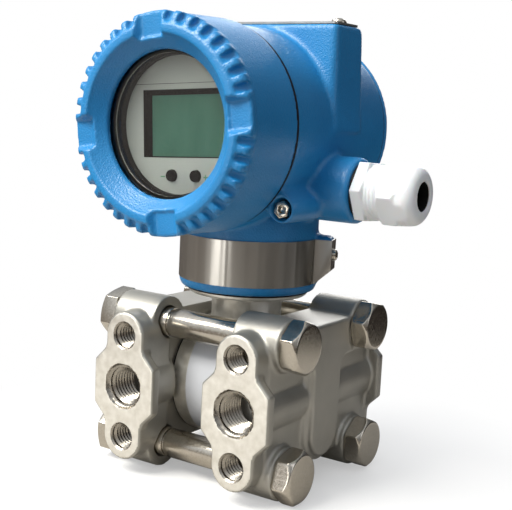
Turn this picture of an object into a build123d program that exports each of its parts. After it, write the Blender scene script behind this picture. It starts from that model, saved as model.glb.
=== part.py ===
from build123d import *
import math
import os

# Differential pressure transmitter, in millimetres. The pieces are built in a frame with the
# neck axis on Z and the port axes at z = 0, and shifted at the end so that the origin is the
# centre of the manifold bolt pattern, on the front port face.

# Process flanges
port_pitch = 54.0
port_face_y = 45.5
manifold_pitch_z = 41.3
lobe_r = 9.5
block_half_width = 15.3
block_half_height = 9.0
plate_t = 4.5
plate_corner_r = 5.0
cast_edge_r = 0.8
web_edge_r = 1.2
barrel_r = 12.3
flange_inner_x = 19.0
web_outer_x = 37.0
spot_face_x = 40.0
pad_outer_x = 40.8
pad_step = 2.0
step_outer_x = 38.6
pad_half_width = 10.6
pad_bottom_z = -24.6
pad_flare_r = 5.0
web_top_z = 30.0
web_bottom_z = -26.5
web_half_depth = 38.0
bolt_y = 27.5
bolt_z = 25.0
boss_r = 10.5
spot_face_r = 12.2
chamber_r = 16.5
chamber_depth = 2.5

# Threaded ports: the thread's own grooves are not cut, so each bore has the minor radius. The
# small holes are 7/16 inch in front (-1) and M10 behind (1).
port_thread_r = 7.0
port_thread_len = 15.0
seal_recess_r = 9.0
seal_recess_depth = 1.6
impulse_r = 3.0
tapped_r = {-1: 4.95, 1: 4.25}
tapped_depth = 10.5

# Flange bolts and nuts
bolt_r = 5.9
bolt_hole_r = 6.5
bolt_af = 19.0
bolt_turns = {(-1, 1): 38.0, (1, 1): 47.0, (-1, -1): 15.0, (1, -1): 35.0}
bolt_head_h = 7.5
nut_h = 7.5
bolt_end_past_nut = 1.5
bolt_groove_r = 5.1
bolt_groove_x = 16.2
bolt_groove_w = 0.9

# Sensor body, stem and disc
gasket_t = 0.6
body_r = 25.0
gasket_inner_r = 18.5
gasket_outer_r = 24.2
stem_r = 14.5
disc_r = 24.8
disc_bottom_z = 37.0
disc_top_z = 38.8
neck_thread_r = 20.0
neck_thread_top_z = 53.0
diaphragm_t = 0.4
label_t = 0.25
label_half_angle = 52.0
label_inset_x = 8.0

# Housing
head_z = 104.8
housing_front_y = -31.2
housing_rear_y = 41.0
housing_front_r = 39.4
housing_rear_r = housing_front_r - 1.2
shell_edge = 0.6
cover_thread_r = housing_front_r - 3.4
cover_thread_len = 9.5
thread_gap = 0.05
compartment_r = cover_thread_r - 1.6
relief_len = 2.0
partition_front_y = -13.0
partition_rear_y = -9.6
neck_r = 28.1
neck_bottom_z = 39.55
neck_bottom_r = 27.6
band_bottom_z = 43.1
band_top_z = 61.3
band_t = 0.6
ear_angle = 20.0
ear_reach = 34.6
ear_width = 8.6
ear_top_z = 62.6
ear_chamfer_z = 49.0
conduit_z = 82.9
conduit_face_x = 50.6
conduit_boss_r = 12.8
conduit_bore_r = 9.25
conduit_start_x = 20.4
lock_radius = 44.6
lock_angle = -40.3
lock_x = lock_radius * math.cos(math.radians(lock_angle))
lock_z = head_z + lock_radius * math.sin(math.radians(lock_angle))
lock_boss_r = 5.3
lock_pocket_r = 4.2
lock_pocket_depth = 3.6
lock_shank_r = 2.0
lock_hole_depth = 14.0
tower_top_z = head_z + housing_front_r + 1.3
tower_half_width = housing_front_r - 1.4
tower_front_y = -4.5
tower_rear_y = 17.2
tower_draft = 2.6
tower_edge_r = 2.2
tower_top_round = 0.6
tower_rear_chamfer = 2.8

# Covers
skirt_end_y = -32.7
skirt_r = housing_front_r + 1.0
skirt_front_r = skirt_r - 0.5
skirt_front_y = -58.6
crest_r = skirt_r - 0.1
crest_y = -62.0
crest_slope = 1.2
rim_outer_r = crest_r - 4.1
flute_front_y = -62.6
rim_front_y = -64.9
rim_inner_r = rim_outer_r - 4.2
rim_round = 0.9
dish_r = rim_inner_r - 3.7
dish_y = -60.3
window_r = dish_r - 1.5
window_front_y = -59.0
glass_front_y = -57.2
glass_t = 3.6
glass_lap = 2.7
glass_r = window_r + glass_lap
retainer_t = 1.4
retainer_inner_r = window_r - 0.8
retainer_groove = 0.9
cover_wall = 2.6
cover_cavity_r = cover_thread_r - cover_wall
flutes_between_pads = 8
pad_recess_y = -61.6
pad_recess_wall = 28.0
pad_inner_r = rim_inner_r - 0.8
pad_half_angle = 6.8
pad_count = 4
cover_turn = -8.0
oring_section = 1.5
oring_width = 1.4
rear_rim_r = housing_rear_r + 0.1
rear_rim_t = 2.2
rear_crest_r = rear_rim_r - 3.7
rear_crest_h = 5.2
rear_plate_t = 3.4
rear_rim_inner_r = rear_crest_r - 5.6

# Display module
face_y = -48.5
face_t = 2.0
face_r = window_r + 1.0
bezel_r = face_r + 2.2
bezel_lip_r = face_r - 2.4
bezel_front_y = -51.2
bezel_rear_y = -38.5
lcd_half_width = 19.0
lcd_half_height = 12.5
lcd_recess = 2.4
lcd_t = 2.2
lcd_margin = 1.6
board_t = 1.6
button_x = 5.5
button_z = head_z - 19.1
button_r = 2.1
button_hole_r = 2.35
button_stand = 1.2
button_len = 4.8
button_collar_r = 2.9
module_r = bezel_r
module_gap = 0.4
module_post_x = 16.0
module_post_r = 2.5

# Rear compartment
terminal_w = 44.0
terminal_h = 22.0
terminal_depth = 13.0
terminal_pitch = 11.0
terminal_screw_r = 3.0
terminal_screw_h = 2.0
terminal_pocket = 3.5
terminal_gap = 0.3
terminal_count = 4
terminal_rib = 1.4
terminal_z = head_z + 4.2
ground_x = 0.0
ground_z = head_z - 22.8
ground_head_r = 3.2
ground_head_h = 2.4

# Tower top
plate_gap = 0.05
nameplate_t = 0.8
nameplate_inset = 0.8
name_screw_x = tower_half_width - 5.0
name_screw_y = tower_front_y + 10.1
name_head_r = 3.0
name_head_h = 1.9
name_shank_r = 1.5
name_shank_len = 6.5
name_hole_depth = 7.0
adjuster_x = 16.0
adjuster_r = 3.9
adjuster_gap = 0.06
adjuster_len = 4.6
adjuster_drop = 1.9
adjuster_below_top = 0.3

# Cable gland and conduit plug
gland_af = 22.0
gland_washer_t = 1.0
gland_hex_l = 4.5
gland_ring_r = 10.1
gland_ring_l = 5.2
gland_thread_r = 9.0
gland_thread_l = 6.5
gland_spigot_l = 11.0
gland_bore_r = 5.6
gland_seal_r = 7.4
gland_seal_l = 9.5
gland_seal_bore_r = 4.3
nut_start_gap = 0.3
gland_nut_l = 14.8
gland_nut_dome_l = 10.5
gland_nut_mouth_r = 7.1
gland_nut_bore_r = 5.5
gland_turn = 3.6
plug_flange_r = 11.6
plug_flange_t = 3.0
plug_len = 12.0
plug_socket_af = 10.0

# Small screws
lock_head_r = 3.5
lock_head_h = 3.4
lock_socket_af = 3.0
tag_head_r = 2.4
tag_head_h = 1.7
tag_shank_r = 1.25
tag_shank_len = 7.0
tag_screw_z = 55.0

X_DIR = (1, 0, 0)
Y_DIR = (0, 1, 0)
Z_DIR = (0, 0, 1)


def rod(radius, start, end, axis, at=(0, 0)):
    """A cylinder along one axis from start to end; at gives its other two coordinates in order."""
    length = end - start
    middle = (start + end) / 2
    if axis == "x":
        return Pos(middle, at[0], at[1]) * Rot(0, 90, 0) * Cylinder(radius, length)
    if axis == "y":
        return Pos(at[0], middle, at[1]) * Rot(90, 0, 0) * Cylinder(radius, length)
    return Pos(at[0], at[1], middle) * Cylinder(radius, length)


def hex_rod(across_flats, start, end, axis, at=(0, 0), turn=0.0):
    """A hexagonal bar along X or Y; its first corner is turn degrees from the other flat axis."""
    hexagon = Rot(0, 0, turn) * RegularPolygon(across_flats / math.sqrt(3), 6, major_radius=True)
    if axis == "x":
        return extrude(Plane.YZ.offset(start) * Pos(at[0], at[1]) * hexagon, end - start)
    return extrude(Plane.XZ.offset(-end) * Pos(at[0], at[1]) * hexagon, end - start)


def block(x0, x1, y0, y1, z0, z1):
    """A box between two corners."""
    middle = Pos((x0 + x1) / 2, (y0 + y1) / 2, (z0 + z1) / 2)
    return middle * Box(x1 - x0, y1 - y0, z1 - z0)


def turned_about_head(points):
    """Revolve a closed profile of (radius, y) points about the head's axis."""
    outline = [(r, y, 0) for r, y in points]
    face = make_face(Polyline(outline, close=True))
    ring = revolve(face, Axis((0, 0, 0), Y_DIR), 360)
    return Pos(0, 0, head_z) * ring


def turned_about_x(points):
    """Revolve a closed profile of (x, radius) points about the X axis."""
    outline = [(x, r, 0) for x, r in points]
    face = make_face(Polyline(outline, close=True))
    return revolve(face, Axis((0, 0, 0), X_DIR), 360)


def turned_about_z(points):
    """Revolve a closed profile of (radius, z) points about the neck's axis."""
    outline = [(r, 0, z) for r, z in points]
    face = make_face(Polyline(outline, close=True))
    return revolve(face, Axis((0, 0, 0), Z_DIR), 360)


def round_head(radius, height):
    """A low domed screw head on the XY plane, pointing up."""
    edge = radius * 0.9
    side = [(0, 0), (radius, 0), (radius, height * 0.35)]
    dome = [(edge, height * 0.7), (radius * 0.5, height), (0, height)]
    return turned_about_z(side + dome)


def cross_recess(radius, height):
    """The tool that cuts a cross recess in a screw head of this size."""
    wide = radius * 1.1
    slot = radius * 0.22
    deep = height * 0.6
    bar = Pos(0, 0, height) * Box(wide, slot, 2 * deep)
    return bar + Rot(0, 0, 90) * bar


def pan_screw(head_r, head_h, shank_r, shank_len):
    """A cross-recessed pan head screw with its seat on the XY plane and its head up."""
    head = round_head(head_r, head_h) - cross_recess(head_r, head_h)
    return head + rod(shank_r, -shank_len, 0.0, "z")


def port_outline():
    """The lobed outline of the port plate, centred on the port, drawn on the XY plane."""
    lobe_z = manifold_pitch_z / 2
    shoulder = block_half_width - lobe_r
    upper = block_half_height + shoulder
    lobes = SlotCenterToCenter(manifold_pitch_z, 2 * lobe_r, rotation=90)
    octagon = Polygon(
        (block_half_width, block_half_height),
        (lobe_r, upper),
        (-lobe_r, upper),
        (-block_half_width, block_half_height),
        (-block_half_width, -block_half_height),
        (-lobe_r, -upper),
        (lobe_r, -upper),
        (block_half_width, -block_half_height),
        align=None,
    )
    outline = lobes + octagon
    inner_corners = [v for v in outline.vertices() if abs(abs(v.Y) - upper) < 0.05 and upper < lobe_z]
    return fillet(inner_corners, plate_corner_r)


def flange_casting():
    """The +X flange with its bosses, before any hole is drilled."""
    port_x = port_pitch / 2
    lobe_z = manifold_pitch_z / 2
    web_profile = Polygon(
        (-web_half_depth, -lobe_z),
        (-bolt_y, -bolt_z),
        (-boss_r, web_bottom_z),
        (boss_r, web_bottom_z),
        (bolt_y, -bolt_z),
        (web_half_depth, -lobe_z),
        (web_half_depth, lobe_z),
        (bolt_y, web_top_z),
        (-bolt_y, web_top_z),
        (-web_half_depth, lobe_z),
        align=None,
    )
    web = extrude(Plane.YZ.offset(flange_inner_x) * web_profile, web_outer_x - flange_inner_x)
    web = fillet(web.edges().group_by(Axis.X)[-1], web_edge_r)
    casting = web + rod(barrel_r, -port_face_y, port_face_y, "y", (port_x, 0))
    plate = extrude(port_outline(), plate_t)
    plate = fillet(plate.edges().group_by(Axis.Z)[0], cast_edge_r)
    lobes = SlotCenterToCenter(manifold_pitch_z, 2 * lobe_r, rotation=90)
    neck = Pos(0, 0, plate_t / 2) * extrude(lobes, port_face_y - bolt_y - plate_t / 2)
    for side in (-1, 1):
        stand = Pos(port_x, side * port_face_y, 0) * Rot(side * 90, 0, 0)
        casting += stand * plate
        casting += stand * neck
    for side_y in (-1, 1):
        for side_z in (-1, 1):
            casting += bolt_boss((side_y * bolt_y, side_z * bolt_z))
    return casting + outer_pad()


def bolt_boss(at):
    """The round boss of one flange bolt, with its outer edge rounded."""
    boss = rod(boss_r, flange_inner_x, spot_face_x, "x", at)
    rim = boss.edges().filter_by(GeomType.CIRCLE).sort_by(Axis.X)[-1]
    return fillet([rim], cast_edge_r)


def pad_outline(half_width, bottom_z):
    """A round-footed upright that flares at its top into the two upper bosses."""
    arc_z = bottom_z + half_width
    shoulder_z = bolt_z - spot_face_r + 2.0
    foot = Pos(0, arc_z) * Circle(half_width)
    foot += Pos(0, (arc_z + web_top_z) / 2) * Rectangle(2 * half_width, web_top_z - arc_z)
    bridge = Pos(0, (shoulder_z + web_top_z) / 2) * Rectangle(2 * bolt_y, web_top_z - shoulder_z)
    outline = foot + bridge
    level = outline.vertices().filter_by_position(Axis.Y, shoulder_z - 0.01, shoulder_z + 0.01)
    inner = [v for v in level if abs(abs(v.X) - half_width) < 0.01]
    return fillet(inner, pad_flare_r)


def outer_pad():
    """The raised pad on the flange's outer side and the lower step round it."""
    base = Plane.YZ.offset(web_outer_x - 1)
    pad = extrude(base * pad_outline(pad_half_width, pad_bottom_z), pad_outer_x - web_outer_x + 1)
    pad = fillet(pad.edges().group_by(Axis.X)[-1], cast_edge_r)
    wider = pad_outline(pad_half_width + pad_step, pad_bottom_z - pad_step)
    step = extrude(base * wider, step_outer_x - web_outer_x + 1)
    step = fillet(step.edges().group_by(Axis.X)[-1], cast_edge_r)
    return pad + step


def port_cuts(side):
    """The holes drilled from one port face, front for -1 and rear for 1."""
    port_x = port_pitch / 2
    face = side * port_face_y

    def along(radius, depth, z=0.0, start=0.0):
        a = face - side * start
        b = face - side * depth
        return rod(radius, min(a, b), max(a, b), "y", (port_x, z))

    cuts = along(port_thread_r, port_thread_len) + along(impulse_r, port_face_y)
    if side < 0:
        cuts += along(seal_recess_r, seal_recess_depth)
    for z in (-manifold_pitch_z / 2, manifold_pitch_z / 2):
        cuts += along(tapped_r[side], tapped_depth, z)
    return cuts


def flange_high():
    """The finished +X flange."""
    flange = flange_casting()
    for side_y in (-1, 1):
        for side_z in (-1, 1):
            at = (side_y * bolt_y, side_z * bolt_z)
            flange -= rod(spot_face_r, spot_face_x, pad_outer_x + 5, "x", at)
            flange -= rod(bolt_hole_r, 0, pad_outer_x + 5, "x", at)
    flange -= port_cuts(-1) + port_cuts(1)
    flange -= rod(body_r + 1.5, 0, flange_inner_x, "x")
    flange -= rod(chamber_r, 0, flange_inner_x + chamber_depth, "x")
    flange -= rod(impulse_r, flange_inner_x, port_pitch / 2, "x")
    return flange


def chamfered_rod(start, end, at):
    """The turned outline that gives a hexagon along X its chamfered outer end."""
    corner = bolt_af / math.sqrt(3) + 0.1
    flat = bolt_af * 0.475
    drop = (corner - flat) * 0.5
    body = turned_about_x([(start, 0), (start, corner), (end - drop, corner), (end, flat), (end, 0)])
    return Pos(0, at[0], at[1]) * body


def flange_bolts():
    """Four hexagon head bolts along X, heads on +X."""
    bolts = []
    tail = -spot_face_x - nut_h - bolt_end_past_nut
    for side_y in (-1, 1):
        for side_z in (-1, 1):
            at = (side_y * bolt_y, side_z * bolt_z)
            turn = bolt_turns[(side_y, side_z)]
            head = hex_rod(bolt_af, spot_face_x, spot_face_x + bolt_head_h, "x", at, turn)
            head = head & chamfered_rod(spot_face_x, spot_face_x + bolt_head_h, at)
            shank = rod(bolt_r, tail, spot_face_x, "x", at)
            groove = rod(bolt_r + 1, -bolt_groove_x, -bolt_groove_x + bolt_groove_w, "x", at)
            groove -= rod(bolt_groove_r, -bolt_groove_x - 1, 0, "x", at)
            bolts.append(head + shank - groove)
    return bolts


def flange_nuts():
    """Four hexagon nuts on the -X ends of the bolts."""
    nuts = []
    for side_y in (-1, 1):
        for side_z in (-1, 1):
            at = (side_y * bolt_y, side_z * bolt_z)
            nut = hex_rod(bolt_af, spot_face_x, spot_face_x + nut_h, "x", at, bolt_turns[(side_y, -side_z)])
            nut = nut & chamfered_rod(spot_face_x, spot_face_x + nut_h, at)
            nut -= rod(bolt_r, spot_face_x - 1, spot_face_x + nut_h + 1, "x", at)
            nuts.append(mirror(nut, Plane.YZ))
    return nuts


def drain_plugs():
    """Hex socket plugs that close the two rear ports."""
    plugs = []
    for side in (-1, 1):
        at = (side * port_pitch / 2, 0)
        plug = rod(port_thread_r, port_face_y - port_thread_len + 4, port_face_y + 0.6, "y", at)
        plugs.append(plug - hex_rod(6.0, port_face_y - 5, port_face_y + 1, "y", at))
    return plugs


def sensor_body():
    """The measuring cell, its stem and the round disc that carries the head."""
    half = flange_inner_x - gasket_t
    edge = body_r - 0.5
    left = [(-half, 0), (-half, edge), (-half + 0.5, body_r)]
    right = [(half - 0.5, body_r), (half, edge), (half, 0)]
    body = turned_about_x(left + right)
    body += rod(stem_r, 0, disc_bottom_z + 0.5, "z")
    body += turned_about_z([(0, disc_bottom_z), (disc_r - 1.0, disc_bottom_z), (disc_r, disc_bottom_z + 0.8),
                            (disc_r, disc_top_z), (0, disc_top_z)])
    return body + rod(neck_thread_r, disc_top_z - 0.5, neck_thread_top_z, "z")


def sensor_label():
    """A thin bare label wrapped round the front of the measuring cell."""
    reach = flange_inner_x - label_inset_x
    tube = rod(body_r + label_t, -reach, reach, "x") - rod(body_r, -reach - 1, reach + 1, "x")
    height = 2 * body_r * math.sin(math.radians(label_half_angle))
    depth = body_r * (1 - math.cos(math.radians(label_half_angle))) + 2 * label_t
    front = Pos(0, -body_r + depth / 2 - label_t, 0) * Box(2 * reach, depth + 2 * label_t, height)
    return tube & front


def diaphragm(side):
    """The isolating diaphragm on one end of the measuring cell, with two shallow waves."""
    x0 = flange_inner_x - gasket_t
    disc = rod(chamber_r - 0.5, x0, x0 + diaphragm_t, "x")
    for r in (5.0, 9.0, 13.0):
        disc += rod(r + 0.8, x0, x0 + diaphragm_t + 0.25, "x") - rod(r, x0 - 1, x0 + 2, "x")
    return disc if side > 0 else mirror(disc, Plane.YZ)


def gasket(side):
    """The flat ring that seals one flange against the measuring cell."""
    x0 = flange_inner_x - gasket_t
    ring = rod(gasket_outer_r, x0, flange_inner_x, "x") - rod(gasket_inner_r, x0 - 1, flange_inner_x + 1, "x")
    return ring if side > 0 else mirror(ring, Plane.YZ)


def neck_section(extra):
    """The neck's round section with its ear, grown by extra, on the XY plane."""
    ear_len = ear_reach + extra
    ear = Rot(0, 0, ear_angle) * Pos(ear_len / 2, 0) * Rectangle(ear_len, ear_width + 2 * extra)
    return Circle(neck_r + extra) + ear


def ear_trim():
    """The wedge that cuts the ear's lower outer corner off."""
    drop = ear_chamfer_z - band_bottom_z
    reach = ear_reach + band_t
    base = neck_r + band_t
    run = reach - base
    extra = 4.0
    below = band_bottom_z - 6.0
    slope = drop / run
    points = [
        (base, 0, band_bottom_z),
        (reach + extra, 0, ear_chamfer_z + extra * slope),
        (reach + extra, 0, below),
        (base, 0, below),
    ]
    wedge = extrude(make_face(Polyline(points, close=True)), ear_width, dir=(0, 1, 0), both=True)
    return Rot(0, 0, ear_angle) * wedge


def tag_band():
    """The bare strip round the neck and the ear."""
    strip = neck_section(band_t) - neck_section(0.0)
    band = Pos(0, 0, band_bottom_z) * extrude(strip, band_top_z - band_bottom_z)
    return band - ear_trim() - tag_screw_hole(tag_shank_r + 0.1)


def tag_screw_hole(radius):
    """The hole of the tag band's screw through the ear."""
    hole = rod(radius, ear_reach - 8, ear_reach + 3, "x", (0, tag_screw_z))
    return Rot(0, 0, ear_angle) * hole


def tag_band_screw():
    """The pan head screw that holds the tag band on the ear."""
    screw = pan_screw(tag_head_r, tag_head_h, tag_shank_r, tag_shank_len)
    return Rot(0, 0, ear_angle) * Pos(ear_reach + band_t, 0, tag_screw_z) * Rot(0, 90, 0) * screw


def tower():
    """The box on top of the housing, drafted so that it widens downwards."""
    height = tower_top_z - head_z
    width = 2 * tower_half_width
    depth = tower_rear_y - tower_front_y
    middle_y = (tower_front_y + tower_rear_y) / 2
    top = RectangleRounded(width, depth, tower_edge_r)
    box = Pos(0, middle_y, tower_top_z) * extrude(top, -height, taper=-tower_draft)
    box = fillet(box.edges().group_by(Axis.Z)[-1], tower_top_round)
    c = tower_rear_chamfer
    cut = extrude(
        make_face(Polyline([(-width, tower_rear_y - c, tower_top_z), (-width, tower_rear_y + 5, tower_top_z),
                            (-width, tower_rear_y + 5, tower_top_z - c * 2.6)], close=True)),
        2 * width, dir=X_DIR)
    return box - cut


def lock_boss():
    """The small boss beside the front cover, with the web that joins it to the shell."""
    angle = math.degrees(math.atan2(lock_z - head_z, lock_x))
    distance = math.hypot(lock_x, lock_z - head_z)
    rear = -conduit_boss_r + 4
    boss = rod(lock_boss_r, housing_front_y, rear, "y", (lock_x, lock_z))
    root = compartment_r + 2.5
    web = block(root, distance, housing_front_y, rear, -lock_boss_r, lock_boss_r)
    return boss + Pos(0, 0, head_z) * Rot(0, -angle, 0) * web


def compartment(mouth_y, thread_end_y, floor_y):
    """The bore of one compartment: the wider threaded mouth, then the plain bore to its floor."""
    outside = mouth_y + math.copysign(1.0, mouth_y - floor_y)
    return turned_about_head([(0, outside), (cover_thread_r, outside), (cover_thread_r, thread_end_y),
                              (compartment_r, thread_end_y), (compartment_r, floor_y), (0, floor_y)])


def housing():
    """The head casting with its bores."""
    edge = shell_edge
    front = [(0, housing_front_y), (housing_front_r - edge, housing_front_y),
             (housing_front_r, housing_front_y + edge)]
    rear = [(housing_rear_r, housing_rear_y - edge), (housing_rear_r - edge, housing_rear_y),
            (0, housing_rear_y)]
    shell = turned_about_head(front + rear)
    neck = rod(neck_r, band_bottom_z, head_z - compartment_r, "z")
    collar_r = neck_r + band_t
    collar = turned_about_z([(0, neck_bottom_z), (neck_bottom_r, neck_bottom_z), (collar_r, band_bottom_z),
                             (0, band_bottom_z)])
    ear = Pos(0, 0, band_bottom_z) * extrude(neck_section(0.0), ear_top_z - band_bottom_z)
    neck += collar + (ear - ear_trim())
    body = shell + neck + tower() + lock_boss()
    for side in (-1, 1):
        face = side * conduit_face_x
        boss = rod(conduit_boss_r, min(face, 0), max(face, 0), "x", (0, conduit_z))
        rim = boss.edges().filter_by(GeomType.CIRCLE).sort_by(Axis.X)[-1 if side > 0 else 0]
        body += fillet([rim], 1.6)
    body -= compartment(housing_front_y, housing_front_y + cover_thread_len + relief_len, partition_front_y)
    body -= compartment(housing_rear_y, housing_rear_y - cover_thread_len - relief_len, partition_rear_y)
    body -= rod(neck_thread_r + thread_gap, neck_bottom_z - 1, neck_thread_top_z + 1, "z")
    body -= rod(3.2, neck_thread_top_z, head_z - compartment_r + 4, "z", (0, -16.2))
    for side in (-1, 1):
        start = side * conduit_start_x
        end = side * (conduit_face_x + 1)
        body -= rod(conduit_bore_r, min(start, end), max(start, end), "x", (0, conduit_z))
    at = (lock_x, lock_z)
    body -= rod(lock_pocket_r, housing_front_y - 1, housing_front_y + lock_pocket_depth, "y", at)
    body -= rod(lock_shank_r, housing_front_y, housing_front_y + lock_hole_depth, "y", at)
    body -= tag_screw_hole(tag_shank_r)
    for side in (-1, 1):
        deep = tower_top_z - adjuster_below_top - adjuster_len - adjuster_drop
        body -= rod(adjuster_r + adjuster_gap, deep, tower_top_z + 1, "z", (side * adjuster_x, name_screw_y))
        at = (side * name_screw_x, name_screw_y)
        body -= rod(name_shank_r, tower_top_z - name_hole_depth, tower_top_z + 1, "z", at)
    return body


def nameplate():
    """The bare plate on the tower: it pivots on its +X screw and slots under the other."""
    inset = nameplate_inset
    width = 2 * (tower_half_width - inset)
    y0 = tower_front_y + inset
    y1 = tower_rear_y - tower_rear_chamfer - 0.2
    z0 = tower_top_z + plate_gap
    sheet = Pos(0, (y0 + y1) / 2, z0) * extrude(RectangleRounded(width, y1 - y0, 1.5), nameplate_t)
    sheet -= rod(name_shank_r + 0.05, z0 - 1, z0 + 2, "z", (name_screw_x, name_screw_y))
    return sheet - swing_slot(z0)


def swing_slot(z0):
    """The open slot, curved about the pivot, that lets the plate swing clear of its other screw."""
    reach = 2 * name_screw_x
    half_width = name_shank_r + 0.3
    ring = Circle(reach + half_width) - Circle(reach - half_width)
    far = Pos(-reach, reach / 2) * Rectangle(reach, reach)
    arc = (ring & far) + Pos(-reach, 0) * Circle(half_width)
    return Pos(name_screw_x, name_screw_y, z0 - 1) * extrude(arc, 3)


def nameplate_screws():
    """The two screws on the tower: the +X one is the plate's pivot."""
    screws = []
    seat = tower_top_z + 2 * plate_gap + nameplate_t
    for side in (-1, 1):
        screw = pan_screw(name_head_r, name_head_h, name_shank_r, name_shank_len)
        screws.append(Pos(side * name_screw_x, name_screw_y, seat) * screw)
    return screws


def adjuster(side):
    """A push rod under the nameplate, slotted for a screwdriver."""
    top = tower_top_z - adjuster_below_top
    stem = rod(adjuster_r, top - adjuster_len, top, "z", (side * adjuster_x, name_screw_y))
    slot = Pos(side * adjuster_x, name_screw_y, top) * Box(1.5 * adjuster_r, 1.0, 2.0)
    return stem - slot


def gland_start():
    """Where the gland's hexagon begins, outside its washer."""
    return conduit_face_x + gland_washer_t


def gland_washer(side):
    """The flat sealing washer on a conduit entry."""
    face = side * conduit_face_x
    outer = side * gland_start()
    ring = rod(conduit_boss_r - 1.9, min(face, outer), max(face, outer), "x", (0, conduit_z))
    return ring - rod(conduit_bore_r, min(face, outer) - 1, max(face, outer) + 1, "x", (0, conduit_z))


def gland_body():
    """The gland's body: hexagon, grooved ring and the thread under its nut."""
    at = (0, conduit_z)
    x0 = gland_start()
    x1 = x0 + gland_hex_l
    x2 = x1 + gland_ring_l
    x3 = x2 + gland_thread_l
    body = hex_rod(gland_af, x0, x1, "x", at, -gland_turn)
    ring = rod(gland_ring_r, x1, x2, "x", at)
    groove = rod(gland_ring_r + 1, x1 + 2.2, x1 + 2.9, "x", at) - rod(gland_ring_r - 0.7, x1, x2, "x", at)
    body += ring - groove
    body += rod(gland_thread_r, x2, x3, "x", at)
    body += rod(conduit_bore_r - thread_gap, conduit_face_x - gland_spigot_l, x0, "x", at)
    body -= rod(gland_bore_r, conduit_face_x - gland_spigot_l - 1, x3 + 1, "x", at)
    return body - rod(gland_seal_r, x2, x3 + 1, "x", at)


def gland_seal():
    """The rubber sleeve that the nut squeezes round the cable."""
    at = (0, conduit_z)
    x0 = gland_start() + gland_hex_l + gland_ring_l + 0.3
    x1 = x0 + gland_seal_l
    sleeve = rod(gland_seal_r - thread_gap, x0, x1, "x", at)
    return sleeve - rod(gland_seal_bore_r, x0 - 1, x1 + 1, "x", at)


def gland_nut():
    """The domed hexagon nut of the gland."""
    at = (0, conduit_z)
    x0 = gland_start() + gland_hex_l + gland_ring_l + nut_start_gap
    x1 = x0 + gland_nut_l - gland_nut_dome_l
    x2 = x0 + gland_nut_l
    bar = hex_rod(gland_af, x0, x2, "x", at, gland_turn)
    corner = gland_af / math.sqrt(3) + 0.2
    outline = [(x0 - 1, 0), (x0 - 1, corner - 0.8), (x0 + 1.4, corner)]
    for step in range(10):
        angle = math.radians(10 * step)
        swell = (corner - gland_nut_mouth_r) * math.cos(angle)
        outline.append((x1 + gland_nut_dome_l * math.sin(angle), gland_nut_mouth_r + swell))
    dome = turned_about_x(outline + [(x2, 0)])
    nut = bar & (Pos(0, 0, conduit_z) * dome)
    nut -= rod(gland_thread_r + thread_gap, x0 - 1, x0 + gland_thread_l + 0.6, "x", at)
    nut -= rod(gland_seal_r + 0.3, x0, x0 + gland_seal_l + 0.4, "x", at)
    nut -= rod(gland_nut_bore_r, x0, x2 + 1, "x", at)
    flare = Cone(gland_nut_bore_r, gland_nut_bore_r + 1.0, 1.2)
    return nut - Pos(x2 - 0.6, 0, conduit_z) * Rot(0, 90, 0) * flare


def conduit_plug():
    """The blanking plug in the -X entry, with a hexagon socket."""
    at = (0, conduit_z)
    x0 = -gland_start()
    plug = rod(plug_flange_r, x0 - plug_flange_t, x0, "x", at)
    plug += rod(conduit_bore_r - thread_gap, x0, -conduit_face_x + plug_len, "x", at)
    return plug - hex_rod(plug_socket_af, x0 - plug_flange_t - 1, x0 + 3, "x", at)


def cover_lock_screw():
    """The hex socket screw that locks the front cover."""
    at = (lock_x, lock_z)
    seat = housing_front_y + lock_pocket_depth
    screw = rod(lock_head_r, seat - lock_head_h, seat, "y", at) + rod(lock_shank_r, seat, seat + 8, "y", at)
    return screw - hex_rod(lock_socket_af, seat - lock_head_h - 1, seat - 1.2, "y", at)


def cover_profile():
    """The front cover's section as (radius, y) points, with full crest and no flutes."""
    thread = cover_thread_r - thread_gap
    spigot_end = skirt_end_y + oring_section + cover_thread_len
    seat = glass_front_y + glass_t + retainer_t
    return [
        (skirt_r, skirt_end_y),
        (skirt_r, skirt_end_y - 1.2),
        (skirt_front_r, skirt_front_y),
        (crest_r, skirt_front_y - 0.8),
        (crest_r, crest_y),
        (crest_r - crest_slope, crest_y - crest_slope),
        (rim_outer_r, rim_front_y + rim_round),
        (rim_outer_r - rim_round, rim_front_y + 0.2),
        (rim_inner_r + rim_round, rim_front_y),
        (rim_inner_r + 0.25, rim_front_y + 0.3),
        (rim_inner_r, rim_front_y + rim_round),
        (dish_r, dish_y),
        (window_r, window_front_y),
        (window_r, glass_front_y),
        (glass_r, glass_front_y),
        (glass_r, seat - retainer_t),
        (glass_r + retainer_groove, seat - retainer_t),
        (glass_r + retainer_groove, seat),
        (cover_cavity_r, seat),
        (cover_cavity_r, spigot_end),
        (thread, spigot_end),
        (thread, skirt_end_y),
    ]


def flute_width():
    """The flutes and the lands between them share what the pads leave of each quarter equally."""
    free = 360 / pad_count - 2 * pad_half_angle
    return free / (2 * flutes_between_pads + 1)


def flute_angles():
    """The middle of every flute, in degrees round the cover from its first pad."""
    width = flute_width()
    angles = []
    for pad in range(pad_count):
        first = pad * 360 / pad_count + pad_half_angle + 1.5 * width
        angles += [first + 2 * width * i for i in range(flutes_between_pads)]
    return angles


def turn_on_head(angle):
    """A turn about the head's axis, clockwise as seen from the display side, from the top."""
    return Pos(0, 0, head_z) * Rot(0, angle - 90, 0)


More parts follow.
